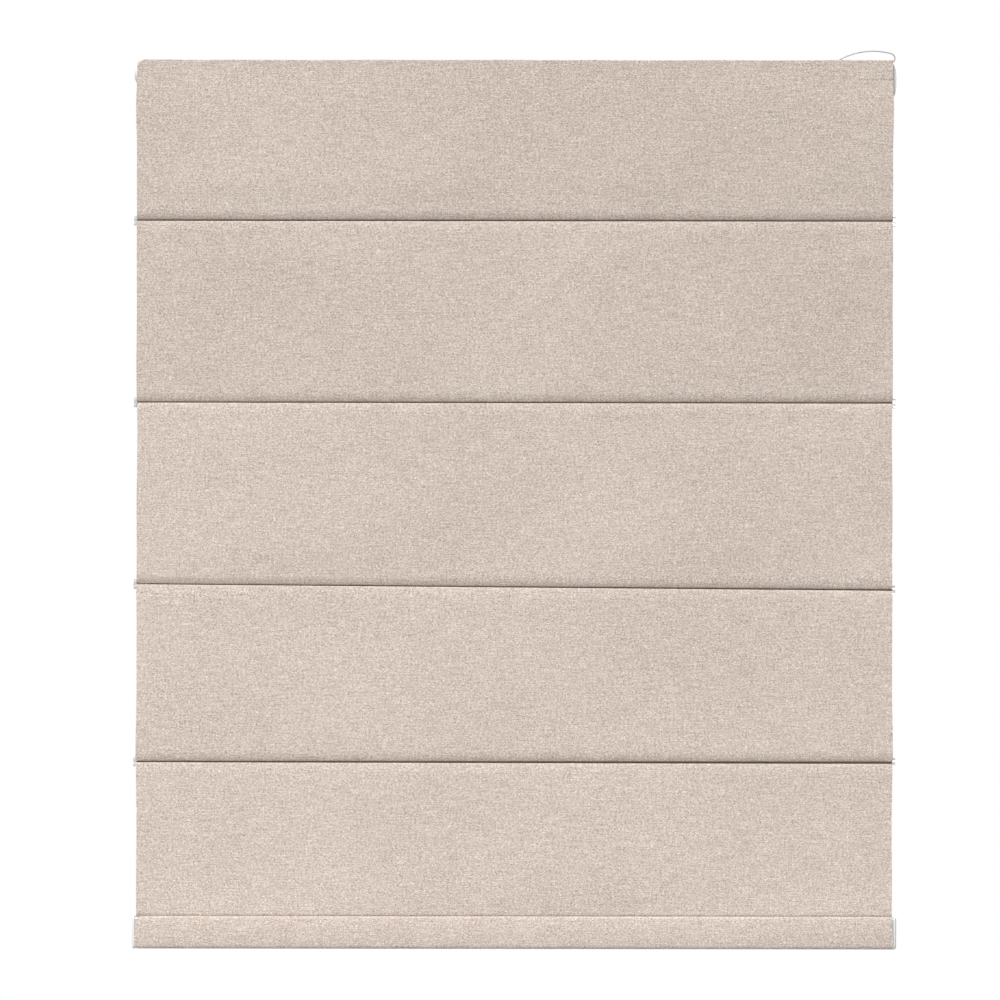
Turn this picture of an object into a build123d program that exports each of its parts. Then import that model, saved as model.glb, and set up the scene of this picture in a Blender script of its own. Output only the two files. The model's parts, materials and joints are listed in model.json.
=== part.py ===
from build123d import *
import os
from math import atan, cos, degrees, radians, sin, tan

os.makedirs("parts", exist_ok=True)

# Main sizes in millimetres. X runs along the width, Z is up, the wall is the plane y = 0.
fabric_width = 1200.0
cloth_drop = 1359.0
panel_shares = (0.1876, 0.2127, 0.2156, 0.2046, 0.1795)
third_seam_tilt = 8.0
fabric_thickness = 0.8
corner_trim_radius = 12.0
fit_gap = 0.3
slide_gap = 0.5
quarter_turn = 90.0

# Headrail
head_rail_height = 40.0
head_rail_depth = 32.0
head_rail_wall = 1.4
head_rail_lip = 5.0
head_rail_corner = 1.5
wall_gap = 18.0
cap_crown = 6.0
cap_plate = 2.0
control_length = 18.0
control_plate = 4.0
plug_length = 14.0
plug_wall = 3.0

# Hook and loop strips that hold the top panel
strip_thickness = 1.5
strip_height = 20.0
strip_drop = 8.0
strip_margin = 4.0

# Cloth edges: the top wrap, the rolls into the battens and the wind round each edge rod
wrap_radius = 3.0
wrap_run = 9.0
ease_radius = 30.0
ease_angle = 28.0
turn_radius = 4.0
roll_angle = 290.0
rod_radius = 1.1
seam_gap = 3.8

# Battens
lobe_wall = 1.2
batten_setback = 10.8
batten_overrun = 0.8
batten_cap_plate = 4.7
cap_pin_length = 6.0
web_height = 2.0

# Lift cords, guides and anchors
lift_cord_shares = (-1 / 3, 0.0, 1 / 3)
lift_cord_radius = 0.7
eye_hole_radius = 1.5
eye_radius = 4.2
eye_height = 3.0
guide_base_width = 12.0
guide_base_thickness = 1.5
guide_arm_width = 3.0
bead_radius = 2.2
bead_height = 4.0
wound_turns = 2.0
wound_pitch = 1.8

# Drive
shaft_across_flats = 6.0
spool_drum_radius = 7.0
spool_drum_length = 44.0
spool_flange_radius = 11.0
spool_flange = 1.5
journal_radius = 5.0
journal_length = 4.0
cradle_wall = 2.0
cradle_rise = 10.0
cradle_side_gap = 1.1
wheel_radius = 13.5
wheel_groove_radius = 11.0
wheel_flange = 2.0
wheel_width = 9.0
wheel_side_gap = 2.0
spring_wire = 1.0
spring_pitch = 1.4
spring_turns = 5.0
sleeve_wall = 2.0
hex_half_angle = 30.0

# Control housing
housing_drop = 38.5
housing_corner = 6.0
housing_wall = 2.0
crown_height = 57.0
crown_depth = 30.0
crown_corner = 14.0
crown_rim = 1.5

# Idle end cap
idle_crown_radius = 13.0
idle_crown_drop = 2.0

# Bottom rail
bottom_rail_height = 52.0
bottom_rail_depth = 16.5
bottom_rail_wall = 1.2
bottom_rail_corner = 3.5
bottom_rail_nose = 6.0
bottom_rail_bow = 2.0
bottom_rail_proud = 8.5
bottom_bore_drop = 6.0
bare_back_height = 12.0
bottom_overrun = 2.0
bottom_cap_length = 4.0
bottom_cap_round = 3.0
bottom_plug_length = 12.0
bottom_plug_height = 28.0
slit_width = 2.0
slit_height = 11.0
slit_depth = 1.5

# Wall brackets
bracket_share = 0.375
bracket_width = 30.0
bracket_thickness = 2.0
bracket_height = 44.0
bracket_hold_share = 0.56
bracket_round = 4.0
wall_hole_spacing = 22.0
wall_hole_radius = 2.5
clamp_hole_radius = 2.3
clamp_shank_radius = 2.0
clamp_head_radius = 4.0
clamp_head_height = 2.2
clamp_shank_length = 7.5
clamp_inset = 9.0
nut_width = 7.0
nut_height = 2.6

# Control cord and its route: upper outlet, over the top, down behind the cloth, lower outlet
control_cord_diameter = 2.2
fillet_share = 0.45
outlet_depth = 1.0
control_route = (
    (588.5, -11.5, 11.5), (591.5, -6.5, 16.5), (602.0, -6.8, 21.5), (608.5, -7.2, 28.0),
    (606.5, -7.8, 36.5), (596.0, -8.5, 39.5), (574.0, -9.5, 42.4), (548.0, -9.5, 39.6),
    (518.0, -8.5, 29.0), (499.0, -7.5, 9.0), (490.5, -7.0, -22.0), (488.5, -8.0, -75.0),
    (491.0, -7.5, -130.0), (488.5, -8.5, -185.0), (491.5, -8.0, -240.0), (489.0, -8.5, -295.0),
    (492.0, -8.0, -350.0), (490.0, -8.5, -405.0), (495.0, -8.0, -460.0), (506.0, -8.5, -505.0),
    (527.0, -9.0, -532.0), (552.0, -9.0, -534.0), (571.0, -8.5, -512.0), (579.0, -8.0, -468.0),
    (583.0, -8.5, -415.0), (582.0, -8.0, -360.0), (585.0, -8.5, -305.0), (584.0, -8.0, -250.0),
    (587.0, -8.5, -195.0), (586.0, -8.0, -145.0), (588.5, -8.0, -100.0), (587.5, -7.0, -58.0),
    (588.0, -6.2, -31.0), (588.5, -6.2, -16.8), (588.5, -11.5, -11.5),
)

# Places that follow from the sizes
half_width = fabric_width / 2
panel_drops = [share * cloth_drop for share in panel_shares]
rail_back_y = -wall_gap
rail_front_y = rail_back_y - head_rail_depth
rail_top_z = head_rail_height / 2
rail_bottom_z = -head_rail_height / 2
axis_y = rail_back_y - head_rail_depth / 2
cloth_y = rail_front_y - 2 * strip_thickness - fabric_thickness / 2
top_run_z = rail_top_z + fit_gap + fabric_thickness / 2
blind_top_z = top_run_z + fabric_thickness / 2
seam_zs = [blind_top_z - sum(panel_drops[:count + 1]) for count in range(len(panel_drops))]
batten_zs = seam_zs[:-1]
seam_tilts = [0, 0, third_seam_tilt, 0]
rail_left_x = -half_width + cap_plate
core_right_x = half_width - control_length
rail_right_x = core_right_x - control_plate
roll_radius = rod_radius + fit_gap + fabric_thickness / 2
bore_radius = roll_radius + fabric_thickness / 2 + fit_gap
lobe_radius = bore_radius + lobe_wall
run_offset = seam_gap / 2 + fabric_thickness / 2
lobe_offset = run_offset + roll_radius
slot_height = fabric_thickness + 2 * fit_gap
batten_y = cloth_y + batten_setback
batten_back_y = batten_y + lobe_radius
batten_half_length = half_width + batten_overrun
lift_cord_y = axis_y + spool_drum_radius + fit_gap + lift_cord_radius
lift_cord_xs = [share * fabric_width for share in lift_cord_shares]
cover_skin = fit_gap + fabric_thickness
cover_top_z = seam_zs[-1]
cover_bottom_z = cover_top_z - bottom_rail_height
bottom_rail_top_z = cover_top_z - cover_skin
bottom_rail_bottom_z = cover_bottom_z + cover_skin
bottom_front_y = cloth_y - bottom_rail_proud + cover_skin
bottom_back_y = cloth_y - bottom_rail_proud + bottom_rail_depth - cover_skin
bottom_bore_y = cloth_y + roll_radius
bottom_bore_z = bottom_rail_top_z - bottom_bore_drop
bottom_half_width = half_width + bottom_overrun
bracket_xs = [-bracket_share * fabric_width, bracket_share * fabric_width]
bracket_reach = wall_gap + bracket_hold_share * head_rail_depth
clamp_y = rail_back_y - clamp_inset
wheel_middle_x = core_right_x + wheel_side_gap + wheel_width / 2
cord_line_z = wheel_groove_radius + slide_gap
outlet_radius = control_cord_diameter / 2 + slide_gap
shaft_bearing_radius = shaft_across_flats / 2 / cos(radians(hex_half_angle)) + fit_gap
spring_radius = journal_radius + fit_gap + spring_wire / 2
sleeve_radius = spring_radius + spring_wire / 2 + fit_gap
plug_left_x = rail_right_x - plug_length


def box_between(low, high):
    """Box between two opposite corners."""
    sizes = [top - bottom for bottom, top in zip(low, high)]
    middle = [(top + bottom) / 2 for bottom, top in zip(low, high)]
    return Pos(*middle) * Box(*sizes)


def along_x(section, start_x, end_x):
    """Solid with a section drawn in y and z, running from one x to another."""
    return extrude(Plane.YZ * Pos(0, 0, start_x) * section, amount=end_x - start_x)


def rod_along_x(radius, y, z, start_x, end_x):
    """Round rod parallel to X."""
    return along_x(Pos(y, z) * Circle(radius), start_x, end_x)


def hanging_edge(seam_z):
    """Lower edge of a panel: eased back, run into the batten and wound round its rod."""
    run_z = seam_z + run_offset
    ease_drop = ease_radius * sin(radians(ease_angle)) + turn_radius * (1 - sin(radians(ease_angle)))
    ease = JernArc((cloth_y, run_z + ease_drop), (0, -1), ease_radius, ease_angle)
    turn = JernArc(ease @ 1, ease % 1, turn_radius, quarter_turn - ease_angle)
    run = Line(turn @ 1, (batten_y, run_z))
    roll = JernArc((batten_y, run_z), (1, 0), roll_radius, roll_angle)
    return [ease, turn, run, roll]


def carried_edge(seam_z):
    """Upper edge of a panel: turned sharply back into the batten above it."""
    run_z = seam_z - run_offset
    turn = JernArc((cloth_y, run_z - turn_radius), (0, 1), turn_radius, -quarter_turn)
    run = Line(turn @ 1, (batten_y, run_z))
    roll = JernArc((batten_y, run_z), (1, 0), roll_radius, -roll_angle)
    return [turn, run, roll]


def wrapped_edge():
    """Upper edge of the top panel, laid over the front corner of the headrail."""
    turn = JernArc((cloth_y, top_run_z - wrap_radius), (0, 1), wrap_radius, -quarter_turn)
    run = Line(turn @ 1, (cloth_y + wrap_radius + wrap_run, top_run_z))
    return [turn, run]


def sewn_edge():
    """Lower edge of the last panel, hung straight into the bottom rail and wound round its rod."""
    return [JernArc((cloth_y, bottom_bore_z), (0, -1), roll_radius, roll_angle)]


def cloth_section(upper_edge, lower_edge):
    """Section of a panel in y and z: two shaped edges and the straight fall between them."""
    fall = Line(upper_edge[0] @ 0, lower_edge[0] @ 0)
    return trace(upper_edge + [fall] + lower_edge, line_width=fabric_thickness)


def middle_panel(number):
    """Panel hung between two battens, its section eased from left to right along tilted seams."""
    sections = []
    for side in (-1, 1):
        upper_z = batten_zs[number - 1] - side * seam_tilts[number - 1] / 2
        lower_z = batten_zs[number] - side * seam_tilts[number] / 2
        section = cloth_section(carried_edge(upper_z), hanging_edge(lower_z))
        sections.append(Plane.YZ * Pos(0, 0, side * half_width) * section)
    return loft(sections, ruled=True)


def top_panel():
    """First panel, laid over the headrail, with its upper left corner rounded."""
    section = cloth_section(wrapped_edge(), hanging_edge(batten_zs[0]))
    return along_x(section, -half_width, half_width) - corner_trim()


def last_panel():
    """Last panel, from the lowest batten into the bottom rail."""
    section = cloth_section(carried_edge(batten_zs[-1]), sewn_edge())
    return along_x(section, -half_width, half_width)


def tilted(shape, number):
    """Shape at one seam, turned about the middle of that seam by the seam's tilt."""
    angle = degrees(atan(seam_tilts[number] / fabric_width))
    return Pos(0, 0, batten_zs[number]) * Rot(0, angle, 0) * Pos(0, 0, -batten_zs[number]) * shape


def corner_trim():
    """Waste outside the rounded upper left corner of the top panel."""
    square = Pos(-half_width, blind_top_z) * Rectangle(2 * corner_trim_radius, 2 * corner_trim_radius)
    arc_centre = Pos(-half_width + corner_trim_radius, blind_top_z - corner_trim_radius)
    waste = square - arc_centre * Circle(corner_trim_radius)
    reach = -cloth_y
    return extrude(Plane.XZ * waste, amount=2 * reach)


def head_rail():
    """Channel open at the bottom, with two lips that carry the spool cradles."""
    outer = Pos(axis_y, 0) * Rectangle(head_rail_depth, head_rail_height)
    outer = fillet(outer.vertices().group_by(Axis.Y)[-1], head_rail_corner)
    inner_depth = head_rail_depth - 2 * head_rail_wall
    inner = Pos(axis_y, -head_rail_wall) * Rectangle(inner_depth, head_rail_height)
    lip_z = rail_bottom_z + head_rail_wall / 2
    lip_shift = (inner_depth - head_rail_lip) / 2
    lip = Rectangle(head_rail_lip, head_rail_wall)
    section = outer - inner + Pos(axis_y - lip_shift, lip_z) * lip + Pos(axis_y + lip_shift, lip_z) * lip
    rail = along_x(section, rail_left_x, rail_right_x)
    for x in bracket_xs:
        rail -= Pos(x, clamp_y, rail_top_z) * Cylinder(clamp_hole_radius, 4 * head_rail_wall)
    return rail


def strip(back_y):
    """Flat strip along the front of the headrail."""
    low = (rail_left_x + strip_margin, back_y - strip_thickness, rail_top_z - strip_drop - strip_height)
    high = (rail_right_x - strip_margin, back_y, rail_top_z - strip_drop)
    return box_between(low, high)


def rail_plug(start_x, end_x):
    """Block that fits inside the headrail above its lips."""
    low_z = rail_bottom_z + head_rail_wall + slide_gap
    high_z = rail_top_z - head_rail_wall - slide_gap
    inset = head_rail_wall + slide_gap
    block = box_between((start_x, rail_front_y + inset, low_z), (end_x, rail_back_y - inset, high_z))
    hollow_low = (start_x, rail_front_y + inset + plug_wall, low_z + plug_wall)
    hollow_high = (end_x, rail_back_y - inset - plug_wall, high_z - plug_wall)
    return block - box_between(hollow_low, hollow_high)


def bow_radius(chord, rise):
    """Radius of the arc that rises by an amount over a chord."""
    return (chord ** 2 / 4 + rise ** 2) / (2 * rise)


def idle_end_cap():
    """Left cap: plate over the rail's end, plug inside it, shaft bearing and a low dome."""
    plate = along_x(Pos(axis_y, 0) * Rectangle(head_rail_depth, head_rail_height), -half_width, rail_left_x)
    crown = rod_along_x(idle_crown_radius, axis_y, -idle_crown_drop, -half_width - cap_crown, -half_width)
    dome_radius = bow_radius(2 * idle_crown_radius, cap_crown - crown_rim)
    crown &= Pos(-half_width - cap_crown + dome_radius, axis_y, -idle_crown_drop) * Sphere(dome_radius)
    bearing_end = rail_left_x + plug_length
    bearing = rod_along_x(shaft_bearing_radius + housing_wall, axis_y, 0, rail_left_x, bearing_end)
    bearing -= rod_along_x(shaft_bearing_radius, axis_y, 0, rail_left_x, bearing_end)
    return plate + crown + bearing + rail_plug(rail_left_x, bearing_end)


def housing_outline():
    """Section of the control housing: square at the top, rounded below."""
    height = rail_top_z + housing_drop
    outline = Pos(axis_y, (rail_top_z - housing_drop) / 2) * Rectangle(head_rail_depth, height)
    return fillet(outline.vertices().group_by(Axis.Y)[0], housing_corner)


def control_housing():
    """Right housing round the cord wheel, with two cord outlets in its back and a bowed outer end."""
    body = along_x(housing_outline(), core_right_x, half_width)
    crown_z = (rail_top_z - housing_drop) / 2 - (rail_top_z + housing_drop - crown_height) / 2
    crown_outline = Pos(axis_y, crown_z) * RectangleRounded(crown_depth, crown_height, crown_corner)
    crown = along_x(crown_outline, half_width, half_width + cap_crown)
    barrel_radius = bow_radius(crown_height, cap_crown - crown_rim)
    barrel = Rot(quarter_turn, 0, 0) * Cylinder(barrel_radius, 2 * crown_depth)
    crown &= Pos(half_width + cap_crown - barrel_radius, axis_y, crown_z) * barrel
    cavity_end = half_width - housing_wall
    cavity = rod_along_x(wheel_radius + slide_gap, axis_y, 0, core_right_x, cavity_end)
    housing = body + crown - cavity
    for z in (cord_line_z, -cord_line_z):
        outlet = Pos(wheel_middle_x, axis_y, z) * Rot(-quarter_turn, 0, 0) * Cylinder(
            outlet_radius, head_rail_depth, align=(Align.CENTER, Align.CENTER, Align.MIN))
        housing -= outlet
    return housing


def control_core():
    """Inner plate of the control unit, with the plug in the rail and the sleeve of the wrap spring."""
    core = along_x(housing_outline(), rail_right_x, core_right_x)
    core += rail_plug(plug_left_x, rail_right_x)
    core += rod_along_x(sleeve_radius + sleeve_wall, axis_y, 0, plug_left_x, rail_right_x)
    core -= rod_along_x(sleeve_radius, axis_y, 0, plug_left_x, rail_right_x)
    return core - rod_along_x(journal_radius + fit_gap, axis_y, 0, rail_right_x, core_right_x)


def drive_shaft():
    """Six-sided bar through the spools and the cord wheel."""
    bar = Pos(axis_y, 0) * RegularPolygon(shaft_across_flats / 2, 6, major_radius=False)
    return along_x(bar, rail_left_x + slide_gap, half_width - housing_wall - slide_gap)


def shaft_hole(start_x, end_x):
    """Six-sided hole that turns with the shaft."""
    bar = Pos(axis_y, 0) * RegularPolygon(shaft_across_flats / 2 + fit_gap, 6, major_radius=False)
    return along_x(bar, start_x, end_x)


def lift_spool(x):
    """Drum with two flanges and two journals. Its cord leaves it at x."""
    start = x - spool_flange - wound_pitch
    drum_start = start + spool_flange
    drum_end = drum_start + spool_drum_length
    end = drum_end + spool_flange
    spool = rod_along_x(spool_drum_radius, axis_y, 0, drum_start, drum_end)
    spool += rod_along_x(spool_flange_radius, axis_y, 0, start, drum_start)
    spool += rod_along_x(spool_flange_radius, axis_y, 0, drum_end, end)
    spool += rod_along_x(journal_radius, axis_y, 0, start - journal_length, end + journal_length)
    return spool - shaft_hole(start - journal_length, end + journal_length)


def spool_cradle(x):
    """Tray on the rail's lips with two bearing walls and an eyelet for the cord."""
    floor_z = rail_bottom_z + head_rail_wall
    inset = head_rail_wall + cradle_side_gap
    low_y = rail_front_y + inset
    high_y = rail_back_y - inset
    inner_start = x - spool_flange - wound_pitch - slide_gap
    inner_end = x - wound_pitch + spool_drum_length + spool_flange + slide_gap
    start = inner_start - cradle_wall
    end = inner_end + cradle_wall
    cradle = box_between((start, low_y, floor_z), (end, high_y, floor_z + cradle_wall))
    cradle += box_between((start, low_y, floor_z), (inner_start, high_y, cradle_rise))
    cradle += box_between((inner_end, low_y, floor_z), (end, high_y, cradle_rise))
    cradle -= rod_along_x(journal_radius + fit_gap, axis_y, 0, start, inner_start)
    cradle -= rod_along_x(journal_radius + fit_gap, axis_y, 0, inner_end, end)
    return cradle - Pos(x, lift_cord_y, floor_z) * Cylinder(eye_hole_radius, 4 * cradle_wall)


def cord_wheel():
    """Grooved wheel that the control cord runs round, with the hub that the wrap spring grips."""
    start = wheel_middle_x - wheel_width / 2
    end = wheel_middle_x + wheel_width / 2
    wheel = rod_along_x(wheel_groove_radius - control_cord_diameter / 2, axis_y, 0, start, end)
    wheel += rod_along_x(wheel_radius, axis_y, 0, start, start + wheel_flange)
    wheel += rod_along_x(wheel_radius, axis_y, 0, end - wheel_flange, end)
    wheel += rod_along_x(journal_radius, axis_y, 0, plug_left_x, start)
    return wheel - shaft_hole(plug_left_x, end)


def brake_spring():
    """Wrap spring between the wheel's hub and the sleeve of the control core."""
    length = spring_turns * spring_pitch
    coil = Helix(spring_pitch, length, spring_radius)
    wire = Plane(coil @ 0, z_dir=coil % 0) * Rectangle(spring_wire, spring_wire)
    spring = sweep(wire, path=coil, is_frenet=True)
    start_x = plug_left_x + plug_length / 2 - length / 2
    return Plane(origin=(start_x, axis_y, 0), x_dir=(0, 1, 0), z_dir=(1, 0, 0)) * spring


def batten_section():
    """Two slotted tubes one above the other, joined by a flat back."""
    section = Sketch()
    for side in (1, -1):
        section += Pos(0, side * lobe_offset) * Circle(lobe_radius)
    section += Rectangle(lobe_radius, web_height, align=(Align.MIN, Align.CENTER))
    back_middle = (bore_radius + lobe_radius) / 2
    section += Pos(back_middle, 0) * Rectangle(lobe_wall, 2 * lobe_offset)
    for side in (1, -1):
        section -= Pos(0, side * lobe_offset) * Circle(bore_radius)
        slot = Rectangle(2 * lobe_radius, slot_height, align=(Align.MAX, Align.CENTER))
        section -= Pos(0, side * run_offset) * slot
    return section


def batten(seam_z):
    """Batten that joins two panels."""
    return along_x(Pos(batten_y, seam_z) * batten_section(), -batten_half_length, batten_half_length)


def batten_caps(seam_z):
    """Two-lobed end caps of one batten, each with two pins in the wound cloth edges."""
    outline = Sketch()
    for side in (1, -1):
        outline += Pos(batten_y, seam_z + side * lobe_offset) * Circle(lobe_radius)
    outline += Pos(batten_y, seam_z) * Rectangle(lobe_radius, 2 * lobe_offset)
    caps = []
    for end in (-1, 1):
        cap = along_x(outline, end * batten_half_length, end * (batten_half_length + batten_cap_plate))
        for side in (1, -1):
            pin_z = seam_z + side * lobe_offset
            pin_start = end * (half_width - cap_pin_length)
            cap += rod_along_x(rod_radius, batten_y, pin_z, pin_start, end * batten_half_length)
        caps.append(cap)
    return Compound(caps)


def edge_rods(seam_z):
    """Rods wound into the cloth above and below one seam."""
    rods = []
    end = half_width - cap_pin_length - fit_gap
    for side in (1, -1):
        rods.append(rod_along_x(rod_radius, batten_y, seam_z + side * lobe_offset, -end, end))
    return Compound(rods)


def cord_eye(x, back_y, z):
    """Plate, arm and eye that hold a lift cord behind a batten or the bottom rail."""
    plate_low = (x - guide_base_width / 2, back_y, z - lobe_offset)
    plate_high = (x + guide_base_width / 2, back_y + guide_base_thickness, z + lobe_offset)
    arm_low = (x - guide_arm_width / 2, back_y, z - eye_height / 2)
    arm_high = (x + guide_arm_width / 2, lift_cord_y, z + eye_height / 2)
    eye = Pos(x, lift_cord_y, z) * Cylinder(eye_radius, eye_height)
    hole = Pos(x, lift_cord_y, z) * Cylinder(eye_hole_radius, eye_height)
    return box_between(plate_low, plate_high) + box_between(arm_low, arm_high) + eye - hole


def cord_eyes(back_y, z):
    """One eye for each lift cord."""
    return Compound([cord_eye(x, back_y, z) for x in lift_cord_xs])


def lift_cord(x):
    """Cord from the bead under its anchor, up through the eyes, with its last turns wound on the drum."""
    anchor_z = bottom_rail_top_z - lobe_offset
    bead_top = anchor_z - eye_height / 2 - fit_gap
    radius = spool_drum_radius + fit_gap + lift_cord_radius
    section = RegularPolygon(lift_cord_radius, 8)
    fall_height = bead_top - bead_height / 2
    fall = Pos(x, lift_cord_y, fall_height) * extrude(section, amount=-fall_height)
    coil = Helix(wound_pitch, wound_turns * wound_pitch, radius)
    wound = sweep(Plane(coil @ 0, z_dir=coil % 0) * section, path=coil, is_frenet=True)
    wound = Plane(origin=(x, axis_y, 0), x_dir=(0, 1, 0), z_dir=(1, 0, 0)) * wound
    bead = Pos(x, lift_cord_y, bead_top - bead_height / 2) * Cylinder(bead_radius, bead_height)
    return fall + wound + bead


def bottom_outline(grow):
    """Side view of the bottom rail, grown by an amount: flat back, bowed front, full lower front corner."""
    bow_edge_y = bottom_front_y + bottom_rail_bow
    middle_z = (bottom_rail_top_z + bottom_rail_bottom_z) / 2
    upper_front = (bow_edge_y, bottom_rail_top_z)
    lower_front = (bow_edge_y, bottom_rail_bottom_z)
    flats = Polyline(lower_front, (bottom_back_y, bottom_rail_bottom_z),
                     (bottom_back_y, bottom_rail_top_z), upper_front)
    bow = ThreePointArc(upper_front, (bottom_front_y, middle_z), lower_front)
    outline = make_face([*flats.edges(), bow])
    nose = outline.vertices().sort_by_distance((*lower_front, 0))[0]
    outline = fillet(nose, bottom_rail_nose)
    square_corners = outline.vertices().filter_by(lambda corner: corner.Y > bottom_rail_top_z - fit_gap)
    square_corners += [outline.vertices().sort_by_distance((bottom_back_y, bottom_rail_bottom_z, 0))[0]]
    outline = fillet(square_corners, bottom_rail_corner)
    return offset(outline, grow) if grow else outline


def bottom_rail():
    """Hollow bar with a slotted bore in its top for the last panel's edge."""
    outer = bottom_outline(0)
    neck_width = slot_height + 2 * lobe_wall
    neck = Pos(cloth_y, bottom_rail_top_z) * Rectangle(
        neck_width, bottom_bore_drop, align=(Align.CENTER, Align.MAX))
    boss = Pos(bottom_bore_y, bottom_bore_z) * Circle(lobe_radius) + neck
    slot = Pos(cloth_y, bottom_bore_z) * Rectangle(
        slot_height, 2 * bottom_bore_drop, align=(Align.CENTER, Align.MIN))
    section = outer - bottom_outline(-bottom_rail_wall) + (boss & outer)
    section -= Pos(bottom_bore_y, bottom_bore_z) * Circle(bore_radius)
    section -= slot
    return along_x(section, -bottom_half_width, bottom_half_width)


def bottom_rail_cover():
    """Cloth wrapped round the bottom rail, from its slot round the front and bottom to its back."""
    opening_y = cloth_y - slot_height / 2 - fit_gap
    opening_z = bottom_rail_top_z - bare_back_height
    opening = Pos(opening_y, opening_z) * Rectangle(
        2 * bottom_rail_depth, 2 * bare_back_height, align=(Align.MIN, Align.MIN))
    section = bottom_outline(cover_skin) - bottom_outline(fit_gap) - opening
    return along_x(section, -bottom_half_width, bottom_half_width)


def bottom_cap(end):
    """Rounded cap with a plug in the bottom rail and a slit in its outer face."""
    cap_end = end * (bottom_half_width + bottom_cap_length)
    cap = along_x(bottom_outline(cover_skin), end * bottom_half_width, cap_end)
    outer_face = cap.edges().group_by(Axis.X)[-1 if end > 0 else 0]
    cap = fillet(outer_face, bottom_cap_round)
    plug_inset = bottom_rail_wall + fit_gap
    plug_low_z = bottom_rail_bottom_z + bottom_rail_nose
    plug_xs = sorted((end * (bottom_half_width - bottom_plug_length), end * bottom_half_width))
    plug_low = (plug_xs[0], bottom_front_y + bottom_rail_bow + plug_inset, plug_low_z)
    plug_high = (plug_xs[1], bottom_back_y - plug_inset, plug_low_z + bottom_plug_height)
    cap += box_between(plug_low, plug_high)
    slit_y = (bottom_front_y + bottom_back_y) / 2
    slit_z = cover_top_z - bottom_rail_height / 4
    cap -= Pos(cap_end, slit_y, slit_z) * Box(2 * slit_depth, slit_width, slit_height)
    return cap


def bottom_rod():
    """Rod wound into the lower edge of the last panel."""
    return rod_along_x(rod_radius, bottom_bore_y, bottom_bore_z, -half_width, half_width)


def wall_bracket(x):
    """Angle bracket: plate on the wall, arm over the headrail."""
    top_z = rail_top_z + bracket_thickness
    left = x - bracket_width / 2
    right = x + bracket_width / 2
    plate = box_between((left, -bracket_thickness, top_z - bracket_height), (right, 0, top_z))
    arm = box_between((left, -bracket_reach, rail_top_z), (right, 0, top_z))
    bracket = plate + arm
    bend = bracket.edges().filter_by(Axis.X).sort_by_distance((x, -bracket_thickness, rail_top_z))[0]
    bracket = fillet(bend, bracket_round)
    front_corners = bracket.edges().filter_by(Axis.Z).group_by(Axis.Y)[0]
    bracket = fillet(front_corners, bracket_round)
    low_corners = bracket.edges().filter_by(Axis.Y).group_by(Axis.Z)[0]
    bracket = fillet(low_corners, bracket_round)
    for side in (1, -1):
        hole = Rot(quarter_turn, 0, 0) * Cylinder(wall_hole_radius, 4 * bracket_thickness)
        bracket -= Pos(x, 0, side * wall_hole_spacing / 2) * hole
    return bracket - Pos(x, clamp_y, top_z) * Cylinder(clamp_hole_radius, 4 * bracket_thickness)


def clamp_screws():
    """Screws that hold the headrail under the bracket arms."""
    screws = []
    seat_z = rail_top_z + bracket_thickness
    for x in bracket_xs:
        head = Pos(0, 0, clamp_head_height / 2) * Cylinder(clamp_head_radius, clamp_head_height)
        shank = Pos(0, 0, -clamp_shank_length / 2) * Cylinder(clamp_shank_radius, clamp_shank_length)
        screws.append(Pos(x, clamp_y, seat_z) * (head + shank))
    return Compound(screws)


def clamp_nuts():
    """Square nuts under the top of the headrail."""
    nuts = []
    nut_z = rail_top_z - head_rail_wall - nut_height / 2
    for x in bracket_xs:
        bore = Cylinder(clamp_hole_radius, nut_height)
        nuts.append(Pos(x, clamp_y, nut_z) * (Box(nut_width, nut_width, nut_height) - bore))
    return Compound(nuts)


def route_radii(points):
    """Fillet radius at each inner point of a route, from its shorter run and its turn."""
    radii = []
    for before, here, after in zip(points, points[1:], points[2:]):
        first = Vector(*here) - Vector(*before)
        second = Vector(*after) - Vector(*here)
        shorter = min(first.length, second.length)
        radii.append(fillet_share * shorter / tan(radians(first.get_angle(second) / 2)))
    return radii


def control_cord():
    """Cord loop from one outlet of the control housing to the other."""
    first = (wheel_middle_x, rail_back_y - outlet_depth, cord_line_z)
    last = (wheel_middle_x, rail_back_y - outlet_depth, -cord_line_z)
    points = [first, *control_route, last]
    radii = route_radii(points)
    print("control cord fillet radii", [round(radius, 1) for radius in radii])
    path = FilletPolyline(*points, radius=radii)
    section = Plane(path @ 0, z_dir=path % 0) * RegularPolygon(control_cord_diameter / 2, 8)
    cord = sweep(section, path=path)
    print("control cord length", round(path.length), "volume", round(cord.volume, 1))
    print("section times length", round(section.area * path.length, 1))
    return cord


def save(shape, name):
    """Write one node."""
    export_step(shape, f"parts/{name}.step")


# Headrail and what is fixed to it
save(head_rail(), "head_rail")
save(strip(rail_front_y), "hook_strip")
save(strip(rail_front_y - strip_thickness), "loop_strip")
save(idle_end_cap(), "idle_end_cap")
save(control_housing(), "control_housing")
save(control_core(), "control_core")
save(brake_spring(), "brake_spring")
for count, x in enumerate(bracket_xs, 1):
    save(wall_bracket(x), f"wall_bracket_{count}")
save(clamp_screws(), "clamp_screws")
save(clamp_nuts(), "clamp_nuts")

# Drive
save(drive_shaft(), "drive_shaft")
save(cord_wheel(), "cord_wheel")
save(control_cord(), "control_cord")
for count, x in enumerate(lift_cord_xs, 1):
    save(lift_spool(x), f"lift_spool_{count}")
    save(spool_cradle(x), f"spool_cradle_{count}")
    save(lift_cord(x), f"lift_cord_{count}")

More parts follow.
